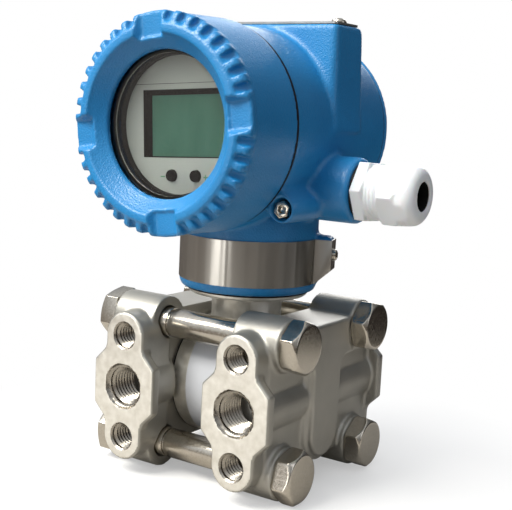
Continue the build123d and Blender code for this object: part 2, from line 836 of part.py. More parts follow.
def flute_cutter():
    """One flute: a slab whose floor runs at a slant from the rim to the skirt."""
    half = crest_r * math.tan(math.radians(flute_width() / 2))
    run = [
        (rim_outer_r, flute_front_y),
        (skirt_front_r - 0.2, skirt_front_y - 0.4),
        (crest_r + 6, skirt_front_y - 0.4),
        (crest_r + 6, rim_front_y - 3),
        (rim_outer_r, rim_front_y - 3),
    ]
    face = make_face(Polyline([(r, y, -half) for r, y in run], close=True))
    return extrude(face, 2 * half, dir=Z_DIR)


def pad_cutter():
    """One recessed pad for a cover spanner: a flat floor whose walls lean outwards."""
    half = crest_r * math.sin(math.radians(pad_half_angle))
    length = crest_r + 3 - pad_inner_r
    floor = Plane.XZ.offset(-pad_recess_y) * Pos(pad_inner_r + length / 2, 0) * Rectangle(length, 2 * half)
    return extrude(floor, pad_recess_y - rim_front_y + 1, taper=-pad_recess_wall)


def front_cover():
    """The fluted front cover with its window opening and its four recessed pads."""
    cover = turned_about_head(cover_profile())
    flute = flute_cutter()
    recess = pad_cutter()
    cutters = [turn_on_head(cover_turn + angle) * flute for angle in flute_angles()]
    cutters += [turn_on_head(cover_turn + pad * 360 / pad_count) * recess for pad in range(pad_count)]
    return cover - cutters


def window_glass():
    """The round window."""
    rear = glass_front_y + glass_t
    return rod(glass_r - 0.05, glass_front_y, rear, "y", (0, head_z))


def window_retaining_ring():
    """The spring ring that holds the window in its seat."""
    front = glass_front_y + glass_t
    ring = rod(glass_r + retainer_groove - 0.05, front, front + retainer_t, "y", (0, head_z))
    return ring - rod(retainer_inner_r, front - 1, front + retainer_t + 1, "y", (0, head_z))


def cover_oring(front):
    """The rubber ring between a cover and the housing's face."""
    if front:
        y0, y1 = skirt_end_y, housing_front_y
    else:
        y0, y1 = housing_rear_y, housing_rear_y + oring_section * 0.3
    inner = cover_thread_r + 0.02
    ring = rod(inner + oring_width, y0 + 0.02, y1 - 0.02, "y", (0, head_z))
    return ring - rod(inner, y0 - 1, y1 + 1, "y", (0, head_z))


def rear_cover():
    """The blind rear cover: rim, toothed crest and threaded spigot."""
    seat = housing_rear_y + oring_section * 0.3
    thread = cover_thread_r - thread_gap
    spigot_end = seat - oring_section * 0.3 - cover_thread_len
    top = seat + rear_rim_t + rear_crest_h
    plate = seat + rear_rim_t + rear_plate_t * 0.5
    profile = [
        (0, plate),
        (rear_rim_inner_r, plate),
        (rear_rim_inner_r + 0.8, top),
        (rear_crest_r - 1.2, top),
        (rear_crest_r, top - 1.2),
        (rear_crest_r + 0.6, seat + rear_rim_t + 1.0),
        (rear_rim_r - 1.0, seat + rear_rim_t),
        (rear_rim_r, seat + rear_rim_t - 0.8),
        (rear_rim_r, seat),
        (thread, seat),
        (thread, spigot_end),
        (cover_cavity_r, spigot_end),
        (cover_cavity_r, plate - rear_plate_t),
        (0, plate - rear_plate_t),
    ]
    cover = turned_about_head(profile)
    half = rear_crest_r * math.tan(math.radians(flute_width() / 2))
    flute = block(rear_crest_r - 2.2, rear_crest_r + 3, seat + rear_rim_t + 1.0, top + 1, -half, half)
    return cover - [turn_on_head(angle) * flute for angle in flute_angles()]


def display_faceplate():
    """The pale faceplate with the display window and the two button holes."""
    plate = rod(face_r, face_y, face_y + face_t, "y", (0, head_z))
    plate -= block(-lcd_half_width, lcd_half_width, face_y - 1, face_y + face_t + 1,
                   head_z - lcd_half_height, head_z + lcd_half_height)
    for side in (-1, 1):
        plate -= rod(button_hole_r, face_y - 1, face_y + face_t + 1, "y", (side * button_x, button_z))
    return plate


def display_bezel():
    """The black cup that holds the faceplate."""
    cup = turned_about_head([(bezel_lip_r, bezel_front_y), (bezel_r, bezel_front_y), (bezel_r, bezel_rear_y),
                             (face_r, bezel_rear_y), (face_r, face_y), (bezel_lip_r, face_y)])
    return cup


def lcd_panel():
    """The liquid crystal cell behind the faceplate's window."""
    y0 = face_y + lcd_recess
    w = lcd_half_width + lcd_margin
    h = lcd_half_height + lcd_margin
    return block(-w, w, y0, y0 + lcd_t, head_z - h, head_z + h)


def display_board():
    """The round circuit board behind the display."""
    y0 = face_y + lcd_recess + lcd_t + 0.2
    return rod(face_r - 0.3, y0, y0 + board_t, "y", (0, head_z))


def button(side):
    """A push button under the display."""
    at = (side * button_x, button_z)
    front = face_y - button_stand
    collar = face_y + face_t + 0.1
    cap = rod(button_r, front, front + button_len, "y", at)
    return cap + rod(button_collar_r, collar, collar + 0.7, "y", at)


def electronics_module():
    """The potted can behind the display board, on the partition."""
    rear = partition_front_y - module_gap
    can = turned_about_head([(0, bezel_rear_y), (module_r - 1, bezel_rear_y), (module_r, bezel_rear_y + 1),
                             (module_r, rear), (0, rear)])
    board_back = face_y + lcd_recess + lcd_t + 0.2 + board_t
    for x in (-module_post_x, module_post_x):
        can += rod(module_post_r, board_back, bezel_rear_y + 1, "y", (x, head_z))
    return can


def terminal_places():
    """Where the wiring terminals stand along X."""
    middle = (terminal_count - 1) / 2
    return [(i - middle) * terminal_pitch for i in range(terminal_count)]


def terminal_block():
    """The moulded block of wiring terminals in the rear compartment."""
    y0 = partition_rear_y + terminal_gap
    y1 = y0 + terminal_depth
    z0 = terminal_z - terminal_h / 2
    z1 = terminal_z + terminal_h / 2
    body = block(-terminal_w / 2, terminal_w / 2, y0, y1, z0, z1)
    for x in terminal_places():
        body -= rod(terminal_screw_r + 0.8, y1 - terminal_pocket, y1 + 1, "y", (x, terminal_z))
    for x in terminal_places()[1:]:
        rib = x - terminal_pitch / 2
        body += block(rib - terminal_rib / 2, rib + terminal_rib / 2, y0, y1 + 2, z0, z1)
    return body


def terminal_screws():
    """The four wiring screws."""
    seat = partition_rear_y + terminal_gap + terminal_depth - terminal_pocket
    height = terminal_screw_h
    head = round_head(terminal_screw_r, height) - cross_recess(terminal_screw_r, height)
    return [Pos(x, seat, terminal_z) * Rot(-90, 0, 0) * head for x in terminal_places()]


def inner_ground_screw():
    """The earthing screw in the rear compartment."""
    screw = round_head(ground_head_r, ground_head_h) - cross_recess(ground_head_r, ground_head_h)
    return Pos(ground_x, partition_rear_y, ground_z) * Rot(-90, 0, 0) * screw


def neck_oring():
    """The black ring between the disc and the head."""
    top = neck_bottom_z - 0.05
    ring = rod(disc_r + 0.8, disc_top_z, top, "z")
    return ring - rod(neck_thread_r + 1.0, disc_top_z - 1, top + 1, "z")


def build():
    """Every piece by the name of its node."""
    high = flange_high()
    return {
        "flange_high": high,
        "flange_low": mirror(high, Plane.YZ),
        "flange_bolts": flange_bolts(),
        "flange_nuts": flange_nuts(),
        "drain_plugs": drain_plugs(),
        "sensor_body": sensor_body(),
        "sensor_label": sensor_label(),
        "diaphragm_high": diaphragm(1),
        "diaphragm_low": diaphragm(-1),
        "gasket_high": gasket(1),
        "gasket_low": gasket(-1),
        "neck_oring": neck_oring(),
        "housing": housing(),
        "tag_band": tag_band(),
        "tag_band_screw": tag_band_screw(),
        "cover_lock_screw": cover_lock_screw(),
        "nameplate": nameplate(),
        "nameplate_screws": nameplate_screws(),
        "zero_adjuster": adjuster(-1),
        "span_adjuster": adjuster(1),
        "gland_body": gland_body(),
        "gland_washer": gland_washer(1),
        "gland_seal": gland_seal(),
        "gland_nut": gland_nut(),
        "conduit_plug": conduit_plug(),
        "conduit_plug_washer": gland_washer(-1),
        "front_cover": front_cover(),
        "window_glass": window_glass(),
        "window_retaining_ring": window_retaining_ring(),
        "front_cover_oring": cover_oring(True),
        "rear_cover": rear_cover(),
        "rear_cover_oring": cover_oring(False),
        "display_faceplate": display_faceplate(),
        "display_bezel": display_bezel(),
        "lcd_panel": lcd_panel(),
        "display_board": display_board(),
        "button_left": button(-1),
        "button_right": button(1),
        "electronics_module": electronics_module(),
        "terminal_block": terminal_block(),
        "terminal_screws": terminal_screws(),
        "inner_ground_screw": inner_ground_screw(),
    }


def save(pieces):
    """Write one file per node, shifted to the part's own origin."""
    os.makedirs("parts", exist_ok=True)
    shift = Pos(0, port_face_y, 0)
    for name, piece in pieces.items():
        solids = piece if isinstance(piece, list) else piece.solids()
        shape = Compound(children=[shift * solid for solid in solids])
        export_step(shape, os.path.join("parts", name + ".step"))


save(build())
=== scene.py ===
# %% [markdown]
# # A differential pressure transmitter
# A field instrument: a blue aluminium head with a windowed display, standing on a short steel neck
# between two cast stainless flanges. The castings come from the CAD frame. This script gives each
# surface the finish of the real thing, and remodels the pieces whose looks depend on what the CAD
# leaves out: the soft edges of a casting, the turns of a thread, the rounding of moulded nylon.

# %% Load the frame
import math
import bpy
from mathutils import Matrix, Vector


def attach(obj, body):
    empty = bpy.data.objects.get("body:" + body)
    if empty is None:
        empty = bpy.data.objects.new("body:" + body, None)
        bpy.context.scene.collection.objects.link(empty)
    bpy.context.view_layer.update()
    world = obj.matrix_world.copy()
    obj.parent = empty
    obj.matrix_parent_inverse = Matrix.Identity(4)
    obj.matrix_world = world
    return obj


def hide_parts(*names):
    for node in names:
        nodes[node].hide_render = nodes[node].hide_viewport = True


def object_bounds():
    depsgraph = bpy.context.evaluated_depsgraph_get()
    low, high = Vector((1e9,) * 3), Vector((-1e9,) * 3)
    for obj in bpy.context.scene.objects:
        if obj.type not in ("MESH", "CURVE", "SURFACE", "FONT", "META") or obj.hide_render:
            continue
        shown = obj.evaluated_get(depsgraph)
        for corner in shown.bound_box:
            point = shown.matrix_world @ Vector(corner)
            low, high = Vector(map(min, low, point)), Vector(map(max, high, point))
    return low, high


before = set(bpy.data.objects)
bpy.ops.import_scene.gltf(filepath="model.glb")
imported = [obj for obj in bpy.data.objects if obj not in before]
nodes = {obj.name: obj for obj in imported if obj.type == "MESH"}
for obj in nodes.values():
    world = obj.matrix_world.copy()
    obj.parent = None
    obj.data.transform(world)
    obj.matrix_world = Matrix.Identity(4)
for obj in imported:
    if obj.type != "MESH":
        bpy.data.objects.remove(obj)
cad_low, cad_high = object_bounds()
print("CAD box", [round(v * 1000, 1) for v in cad_low], [round(v * 1000, 1) for v in cad_high])

# %% [markdown]
# Blender works in metres, but the sizes of such an instrument are known in millimetres. All sizes
# here are written in millimetres and turned by MM where an operator takes them. The origin is on
# the front port faces, between the four manifold holes. The neck stands behind it, and points are
# easiest to give from the neck's axis, so one function turns them.

# %% Sizes that several pieces share
MM = 0.001
NECK_Y = 45.5        # the neck's axis, behind the front port faces
HEAD_Z = 104.8       # the axis of the head's two bores, above the ports
CONDUIT_Z = 82.9     # the axis of the cable gland
PORT_X = 27.0        # each process port, beside the middle
HOLE_Z = 20.65       # the manifold holes, above and below the ports
REAR_Y = 91.0        # the rear port faces


def at(x, y, z):
    """A point given from the neck's axis, in millimetres, as a place in the scene."""
    return Vector((x * MM, (y + NECK_Y) * MM, z * MM))


print("neck axis at y =", NECK_Y, "mm, head axis at z =", HEAD_Z, "mm")

# %% [markdown]
# ## The camera
# The photographer stood to the right of the display, a little above it and close to half a metre
# away, and held the camera slightly turned. A camera could be aimed with a constraint, but its roll
# is easier to see when its three axes are worked out as vectors. The two small shifts say that the
# picture was trimmed after it was taken.

# %% Camera
AZIMUTH, ELEVATION, ROLL = math.radians(33.75), math.radians(7.86), math.radians(2.81)
FRAME_W, FRAME_H = 512, 510
FOCAL_PX = 1010.39
OPTICAL_X, OPTICAL_Y = 251.84, 247.7
SENSOR_MM = 36.0

across = math.cos(ELEVATION)
back = Vector((math.sin(AZIMUTH) * across, -math.cos(AZIMUTH) * across, math.sin(ELEVATION)))
right = (-back).cross(Vector((0, 0, 1))).normalized()
up = right.cross(-back)
rolled_right = math.cos(ROLL) * right + math.sin(ROLL) * up
rolled_up = math.cos(ROLL) * up - math.sin(ROLL) * right
camera_data = bpy.data.cameras.new("photo_camera")
camera = bpy.data.objects.new("photo_camera", camera_data)
bpy.context.scene.collection.objects.link(camera)
turn = Matrix((rolled_right, rolled_up, back)).transposed().to_4x4()
camera.matrix_world = Matrix.Translation(at(230.82, -343.59, 112.28)) @ turn
camera_data.sensor_width = SENSOR_MM
camera_data.lens = FOCAL_PX * SENSOR_MM / FRAME_W
camera_data.shift_x = (FRAME_W / 2 - OPTICAL_X) / FRAME_W
camera_data.shift_y = (OPTICAL_Y - FRAME_H / 2) / FRAME_W
camera_data.clip_start = 0.01
bpy.context.scene.camera = camera
print("lens", round(camera_data.lens, 2), "mm")

# %% [markdown]
# ## Light
# The real one was lit from the front left and above by something broad, so the faces that look
# forward are bright, and those that look right are in calm shade. One large soft panel does that.
# Four dimmer ones fill in: one streaks the bolts between the flanges, one low in front lightens the
# port faces, a strip on the right gives metal and enamel a long quiet reflection, and one behind
# lifts the rear. None stands where the flat window would mirror it to the camera.

# %% Tools for lamps and node trees


def linear(hex_colour):
    """An sRGB colour written as hex, as the linear values that Blender works in."""
    values = [int(hex_colour[i:i + 2], 16) / 255 for i in (1, 3, 5)]
    return [v / 12.92 if v <= 0.04045 else ((v + 0.055) / 1.055) ** 2.4 for v in values] + [1.0]


def add(tree, kind, links=(), **settings):
    """One node with its settings. A link is (input name, node, output name)."""
    node = tree.nodes.new(kind)
    for key, value in settings.items():
        if key.startswith("in_"):
            node.inputs[key[3:].replace("_", " ")].default_value = value
        else:
            setattr(node, key, value)
    for into, source, out in links:
        tree.links.new(source.outputs[out], node.inputs[into])
    return node


def soft_panel(name, place, size, power, colour):
    """A studio panel, its place and size in metres, aimed at the middle of the instrument."""
    light = bpy.data.lights.new(name, "AREA")
    light.shape = "RECTANGLE"
    light.size, light.size_y = size
    light.energy = power
    light.color = linear(colour)[:3]
    lamp = bpy.data.objects.new(name, light)
    lamp.location = place
    lamp.rotation_euler = (at(0, 0, 60) - Vector(place)).to_track_quat("-Z", "Y").to_euler()
    bpy.context.scene.collection.objects.link(lamp)


# %% Lamps
soft_panel("key_panel", (-0.42, -0.85, 1.15), (0.6, 0.6), 28.0, "#FFFBF2")
soft_panel("rod_light", (-0.95, -0.50, 0.85), (0.3, 0.3), 4.0, "#FFFFFF")
soft_panel("front_panel", (-0.33, -1.27, 0.0), (0.34, 0.45), 2.0, "#FFFDFA")
soft_panel("right_strip", (1.15, 0.1, 0.45), (0.3, 0.7), 1.0, "#F4F7FF")
soft_panel("back_panel", (-0.45, 1.35, 0.55), (0.8, 0.6), 6.0, "#FFFFFF")
print("five panels")

# %% [markdown]
# ## The room
# Bare metal looks like metal only when it has something darker to mirror, so the room is not plain
# white: it is pale overhead, grey at the horizon and brown at the ground, and brighter to the front
# left, where the light comes from. The camera sees white behind the object. That is done with Light
# Path, which tells what kind of ray is asking, and adds no light.

# %% World
world = bpy.data.worlds.new("studio")
bpy.context.scene.world = world
bpy.context.scene.view_settings.view_transform = "Standard"
world.use_nodes = True
sky = world.node_tree
sky.nodes.clear()
direction = add(sky, "ShaderNodeTexCoord")
split = add(sky, "ShaderNodeSeparateXYZ", [("Vector", direction, "Generated")])
height = add(sky, "ShaderNodeMapRange", [("Value", split, "Z")], in_From_Min=-0.35, in_From_Max=0.9)
ramp = add(sky, "ShaderNodeValToRGB", [("Fac", height, "Result")])
stops = ramp.color_ramp.elements
stops[0].color, stops[1].color = linear("#4A3B32"), linear("#F2F6FA")
for where, colour in ((0.30, "#88837E"), (0.55, "#B9BDC2")):
    stops.new(where).color = linear(colour)
front_left = add(sky, "ShaderNodeVectorMath", [("Vector", direction, "Generated")], operation="DOT_PRODUCT")
front_left.inputs[1].default_value = (-0.6, -0.8, 0.0)
brightness = add(sky, "ShaderNodeMapRange", [("Value", front_left, "Value")],
                 in_From_Min=-1.0, in_From_Max=1.0, in_To_Min=0.16, in_To_Max=1.6)
room = add(sky, "ShaderNodeBackground", [("Color", ramp, "Color"), ("Strength", brightness, "Result")])
white = add(sky, "ShaderNodeBackground", in_Color=(1, 1, 1, 1), in_Strength=1.0)
ray = add(sky, "ShaderNodeLightPath")
mix = add(sky, "ShaderNodeMixShader", [("Fac", ray, "Is Camera Ray")])
sky.links.new(room.outputs[0], mix.inputs[1])
sky.links.new(white.outputs[0], mix.inputs[2])
add(sky, "ShaderNodeOutputWorld", [("Surface", mix, "Shader")])
print("world ready")

# %% [markdown]
# The floor is a disc of matt paper. Close to the object the camera sees it take the shadow, and
# further out it fades to the white behind. What it throws back at the object is a little darker
# and warmer, as a table would.

# %% Floor
FLOOR_R = 0.26
FADE_FROM, FADE_TO = 0.03, 0.15
bpy.ops.object.select_all(action="DESELECT")
bpy.ops.mesh.primitive_circle_add(vertices=96, radius=FLOOR_R, fill_type="NGON",
                                  location=(0, NECK_Y * MM, cad_low[2] - 0.2 * MM))
floor = bpy.context.object
floor.name = "floor"
paper = bpy.data.materials.new("studio_paper")
paper.use_nodes = True
tree = paper.node_tree
tree.nodes.clear()
sheet = add(tree, "ShaderNodeBsdfDiffuse", in_Color=linear("#EDEDED"))
bounce = add(tree, "ShaderNodeBsdfDiffuse", in_Color=linear("#B8B4AE"))
glow = add(tree, "ShaderNodeEmission", in_Color=(1, 1, 1, 1), in_Strength=1.0)
coords = add(tree, "ShaderNodeTexCoord")
far = add(tree, "ShaderNodeVectorMath", [("Vector", coords, "Object")], operation="LENGTH")
fade = add(tree, "ShaderNodeMapRange", [("Value", far, "Value")], in_From_Min=FADE_FROM, in_From_Max=FADE_TO,
           in_To_Min=0.35, in_To_Max=1.0)
backdrop = add(tree, "ShaderNodeMixShader", [("Fac", fade, "Result")])
tree.links.new(sheet.outputs[0], backdrop.inputs[1])
tree.links.new(glow.outputs[0], backdrop.inputs[2])
ray = add(tree, "ShaderNodeLightPath")
seen = add(tree, "ShaderNodeMixShader", [("Fac", ray, "Is Camera Ray")])
tree.links.new(bounce.outputs[0], seen.inputs[1])
tree.links.new(backdrop.outputs[0], seen.inputs[2])
add(tree, "ShaderNodeOutputMaterial", [("Surface", seen, "Shader")])
floor.data.materials.append(paper)
print("floor at", round(floor.location.z / MM, 2), "mm")

# %% [markdown]
# ## Finishes
# Each finish starts from one function that sets up a Principled shader for a named material and
# hands back its parts, so that the colour, the roughness and the bump can be worked on. All
# patterns are driven by Object coordinates, in metres, so a pattern's scale is one over its size.
# Image textures could do the same, but noise has no seams and no edge, and it follows any shape.

# %% Tools for finishes


def finish(name, colour, metallic=0.0, roughness=0.5, **more):
    """A new material with its node tree, its shader and its coordinates."""
    made = bpy.data.materials.new(name)
    made.use_nodes = True
    tree = made.node_tree
    tree.nodes.clear()
    shader = add(tree, "ShaderNodeBsdfPrincipled", in_Base_Color=linear(colour), in_Metallic=metallic,
                 in_Roughness=roughness)
    for key, value in more.items():
        shader.inputs[key.replace("_", " ")].default_value = value
    add(tree, "ShaderNodeOutputMaterial", [("Surface", shader, "BSDF")])
    coords = add(tree, "ShaderNodeTexCoord")
    return made, tree, shader, coords


def grain(tree, coords, size_mm, detail=2.0, stretch=(1, 1, 1)):
    """Noise whose blotches are about size_mm across. A stretch under 1 draws them out along that axis."""
    scaled = add(tree, "ShaderNodeMapping", [("Vector", coords, "Object")], in_Scale=stretch)
    return add(tree, "ShaderNodeTexNoise", [("Vector", scaled, "Vector")], in_Scale=1000.0 / size_mm,
               in_Detail=detail, in_Roughness=0.5)


def dents(tree, shader, height, depth_mm, strength=1.0):
    """Bump of a depth in millimetres, from a height node."""
    bump = add(tree, "ShaderNodeBump", [("Height", height, 0)],
               in_Distance=depth_mm * MM, in_Strength=strength)
    tree.links.new(bump.outputs["Normal"], shader.inputs["Normal"])


def vary(tree, shader, source, low, high):
    """Lets the roughness wander between two values with a noise node."""
    spread = add(tree, "ShaderNodeMapRange", [("Value", source, 0)], in_From_Min=0.3, in_From_Max=0.7,
                 in_To_Min=low, in_To_Max=high)
    tree.links.new(spread.outputs["Result"], shader.inputs["Roughness"])


def tint(tree, shader, source, dark, light, start=0.3, stop=0.7):
    """Lets the colour wander between two hex colours with a noise node."""
    ramp = add(tree, "ShaderNodeValToRGB", [("Fac", source, 0)])
    first, last = ramp.color_ramp.elements
    first.position, last.position = start, stop
    first.color, last.color = linear(dark), linear(light)
    tree.links.new(ramp.outputs["Color"], shader.inputs["Base Color"])


# %% [markdown]
# The head is aluminium, coated with stoved polyester powder. The powder melts into a blue skin with
# an even orange peel of just under a millimetre, which breaks up the highlights on the cover's rim.

# %% Enamel
enamel, tree, shader, coords = finish("blue_powder_enamel", "#1C79B5", roughness=0.4, Specular_IOR_Level=0.55)
peel = grain(tree, coords, 0.7, detail=1.0)
cloud = grain(tree, coords, 22.0)
dents(tree, shader, peel, 0.16)
vary(tree, shader, peel, 0.32, 0.46)
tint(tree, shader, cloud, "#1A77B3", "#1F7EBA")
print(enamel.name)

# %% [markdown]
# Six steels tell the eye how each piece was made. They share one alloy and differ in roughness,
# because that is what a tool leaves behind: a blasted casting scatters light, a milled face is
# paler and cloudy, turned and rolled pieces mirror the room. The steels that a picture would show
# with fine lines get broad cloudy noise instead, since real lines are narrower than a pixel.

# %% Cast and machined steels
# Investment casting, blasted with glass beads: even, warm grey, no direction.
cast_steel, tree, shader, coords = finish("bead_blasted_cast_stainless", "#ABA8A0",
                                          metallic=0.85, roughness=0.48)
grit = grain(tree, coords, 0.9, detail=3.0)
cloud = grain(tree, coords, 14.0)
dents(tree, shader, grit, 0.05)
vary(tree, shader, cloud, 0.42, 0.52)
tint(tree, shader, cloud, "#A3A19A", "#B1AEA7")

# Milled faces of the same casting: paler, clouded by the cutter's passes.
milled_steel, tree, shader, coords = finish("milled_stainless", "#DEDACF", metallic=0.8, roughness=0.42)
passes = grain(tree, coords, 3.0, detail=4.0)
dents(tree, shader, passes, 0.03, 0.5)
vary(tree, shader, passes, 0.34, 0.5)
tint(tree, shader, passes, "#D8D4CA", "#EAE7DF")

# Turned bar: bright and calm.
turned_steel, tree, shader, coords = finish("turned_stainless", "#C4BEB3", metallic=1.0, roughness=0.24)
passes = grain(tree, coords, 9.0)
vary(tree, shader, passes, 0.2, 0.3)
tint(tree, shader, passes, "#BEB8AD", "#C9C4BA")

# The turns of a tapped hole: darker all over, painted shade standing for the dark valleys between the turns.
tapped_steel, tree, shader, coords = finish("tapped_stainless", "#A39D93", metallic=1.0, roughness=0.27)
oil = grain(tree, coords, 2.0)
vary(tree, shader, oil, 0.22, 0.32)
print(cast_steel.name, milled_steel.name, turned_steel.name, tapped_steel.name)

# %% Rolled steels
# Screws and bolts, rolled and then tumbled in a drum: bright, with tiny knocks.
bolt_steel, tree, shader, coords = finish("tumbled_stainless_bolt", "#C2BBAF", metallic=1.0, roughness=0.2)
wear = grain(tree, coords, 0.8)
dents(tree, shader, wear, 0.004, 0.5)
vary(tree, shader, wear, 0.16, 0.26)
tint(tree, shader, wear, "#BAB3A7", "#C8C2B7")

# Rolled strip. Pulled round the neck it stays slightly wavy, which breaks its reflection into
# upright bands.
strip_steel, tree, shader, coords = finish("brushed_stainless_strip", "#B4B2AC", metallic=1.0, roughness=0.3)
waves = grain(tree, coords, 9.0, stretch=(1, 1, 0.02))
dents(tree, shader, waves, 1.6)
vary(tree, shader, waves, 0.26, 0.36)

# The name plate: satin sheet, brushed along its length.
plate_metal, tree, shader, coords = finish("satin_name_plate", "#C9CAC8", metallic=1.0, roughness=0.34)
strokes = grain(tree, coords, 5.0, detail=4.0, stretch=(0.6, 24, 1))
dents(tree, shader, strokes, 0.01, 0.5)
vary(tree, shader, strokes, 0.28, 0.42)
print(bolt_steel.name, strip_steel.name, plate_metal.name)

# %% [markdown]
# The plastics and rubbers differ in gloss more than in colour. Moulded skins have a faint texture
# from the tool, so each gets shallow noise and a roughness that wanders a little.

# %% Plastics and rubber
# Polyamide gland: a bluish white, slightly see-through, with a soft moulded skin.
nylon, tree, shader, coords = finish("moulded_white_nylon", "#E6EAEE", roughness=0.38, Subsurface_Weight=0.15,
                                     Subsurface_Scale=0.002)
skin = grain(tree, coords, 1.5)
dents(tree, shader, skin, 0.015, 0.5)
vary(tree, shader, skin, 0.32, 0.46)

# Seals: dull black, with no clear highlight.
rubber, tree, shader, coords = finish("black_nitrile_rubber", "#0E0E0E", roughness=0.62,
                                      Specular_IOR_Level=0.3)
skin = grain(tree, coords, 0.8)
dents(tree, shader, skin, 0.02, 0.5)
vary(tree, shader, skin, 0.55, 0.7)

# Keys, bezel and terminal block: a deeper black that stays dark behind the glass.
black_abs, tree, shader, coords = finish("black_moulded_abs", "#08090A", roughness=0.5,
                                         Specular_IOR_Level=0.12)
skin = grain(tree, coords, 0.5)
dents(tree, shader, skin, 0.01, 0.5)
vary(tree, shader, skin, 0.42, 0.56)

# The potted circuit stack: dark grey with a faint sag of the resin.
potting, tree, shader, coords = finish("potted_module_can", "#26282B", roughness=0.5)
skin = grain(tree, coords, 1.0)
dents(tree, shader, skin, 0.02, 0.5)
vary(tree, shader, skin, 0.42, 0.58)
print(nylon.name, rubber.name, black_abs.name, potting.name)

# %% Display, labels and print
# The faceplate: silk-screened polycarbonate foil, matt and greenish grey.
foil, tree, shader, coords = finish("printed_grey_foil", "#C4CCC4", roughness=0.55, Specular_IOR_Level=0.3)
skin = grain(tree, coords, 0.35, detail=1.0)
dents(tree, shader, skin, 0.006, 0.5)
vary(tree, shader, skin, 0.5, 0.62)

# The display: a liquid crystal cell with a reflector, grey green and faintly striped.
cell, tree, shader, coords = finish("liquid_crystal_cell", "#4F8270", roughness=0.2, Specular_IOR_Level=0.3)
stripes = grain(tree, coords, 9.0, stretch=(1, 1, 0.4))
tint(tree, shader, stripes, "#4A7D6B", "#548775")
vary(tree, shader, stripes, 0.1, 0.18)

# The circuit board behind it, under green solder mask.
board, tree, shader, coords = finish("green_circuit_board", "#1E5A38", roughness=0.4)
lacquer = grain(tree, coords, 2.0)
tint(tree, shader, lacquer, "#194E30", "#236440")
vary(tree, shader, lacquer, 0.35, 0.5)

# The sensor's label: coated paper, nearly even. Its grey is darker than the paper itself: painted shade from
# the flanges on either side.
label_paper, tree, shader, coords = finish("coated_label_paper", "#BFC2C8", roughness=0.45)
fibre = grain(tree, coords, 0.6, detail=3.0)
dents(tree, shader, fibre, 0.008, 0.4)
vary(tree, shader, fibre, 0.38, 0.52)

# Green screen ink for the two marks beside the keys.
ink, tree, shader, coords = finish("green_screen_ink", "#5FA878", roughness=0.5)
skin = grain(tree, coords, 0.3, detail=1.0)
vary(tree, shader, skin, 0.45, 0.6)
print(foil.name, cell.name, board.name, label_paper.name, ink.name)

# %% [markdown]
# The window is held by a blackened spring ring whose thin front edge is coloured near white. The pale
# edge could be a piece of its own, but it is only the same ring in another colour, so the colour
# changes with depth: Object Y is measured in metres from the front port faces.

# %% Window and its ring
EDGE_FRONT, EDGE_REAR = -7.7, -7.5
ring_black, tree, shader, coords = finish("blackened_spring_ring", "#0C0C0C", roughness=0.5,
                                          Specular_IOR_Level=0.3)
depth = add(tree, "ShaderNodeSeparateXYZ", [("Vector", coords, "Object")])
# The colour turns near white over the front 0.2 mm of the ring.
pale_edge = add(tree, "ShaderNodeMapRange", [("Value", depth, "Y")], in_From_Min=EDGE_FRONT * MM,
           in_From_Max=EDGE_REAR * MM, in_To_Min=1.0, in_To_Max=0.0)
tint(tree, shader, pale_edge, "#0C0C0C", "#E8E5DC", 0.45, 0.55)
vary(tree, shader, pale_edge, 0.5, 0.3)

# Toughened glass: clear, with a sharp reflection that a smear softens here and there.
window, tree, shader, coords = finish("toughened_window_glass", "#FFFFFF", roughness=0.02,
                                      Transmission_Weight=1.0, IOR=1.5)
smear = grain(tree, coords, 18.0, detail=3.0)
vary(tree, shader, smear, 0.01, 0.04)
print(ring_black.name, window.name)

# %% [markdown]
# ## Soft castings
# The head, its covers and the two flanges are castings, and no edge of a casting is sharp: the
# molten metal leaves a radius of about a millimetre, and blasting or paint rounds it further. A
# bevel has to be told about each edge, and it breaks where two cylinders meet. Remeshing a copy of
# the CAD node into even squares and then smoothing it rounds every edge and corner alike, inside
# and outside, and leaves the flats flat, so that is how it is done. Turned pieces and sheet keep
# crisp edges, and those do get a bevel.

# %% Tools for pieces


def only(obj):
    """Selects one object and nothing else."""
    bpy.ops.object.select_all(action="DESELECT")
    obj.select_set(True)
    bpy.context.view_layer.objects.active = obj


def apply_modifiers(obj):
    """Makes the object's modifiers part of its mesh."""
    only(obj)
    for modifier in list(obj.modifiers):
        bpy.ops.object.modifier_apply(modifier=modifier.name)


def moved_copy(source, name, move=Matrix()):
    """A copy of an object, with a mesh of its own that a matrix moves."""
    piece = bpy.data.objects.new(name, source.data.copy())
    bpy.context.scene.collection.objects.link(piece)
    piece.data.transform(move)
    return piece


def merged_copy(node, name):
    """A copy of a CAD node with its loose triangles joined."""
    piece = moved_copy(nodes[node], name)
    only(piece)
    bpy.ops.object.mode_set(mode="EDIT")
    bpy.ops.mesh.select_all(action="SELECT")
    bpy.ops.mesh.remove_doubles(threshold=0.001 * MM)
    bpy.ops.object.mode_set(mode="OBJECT")
    return piece


def soften(piece, square_mm, rounds):
    """Remeshes a piece into squares of square_mm and smooths it that many rounds."""
    even = piece.modifiers.new("even", "REMESH")
    even.mode, even.voxel_size = "VOXEL", square_mm * MM
    soft = piece.modifiers.new("soft", "SMOOTH")
    soft.factor, soft.iterations = 0.5, rounds
    apply_modifiers(piece)
    bpy.ops.object.shade_smooth()
    return piece


def break_edges(piece, width_mm):
    """Bevels every edge sharper than 24 degrees by width_mm."""
    edge = piece.modifiers.new("edge", "BEVEL")
    edge.limit_method, edge.angle_limit = "ANGLE", math.radians(24)
    edge.width, edge.segments, edge.use_clamp_overlap = width_mm * MM, 2, False
    apply_modifiers(piece)
    bpy.ops.object.shade_smooth_by_angle(angle=math.radians(24))
    return piece


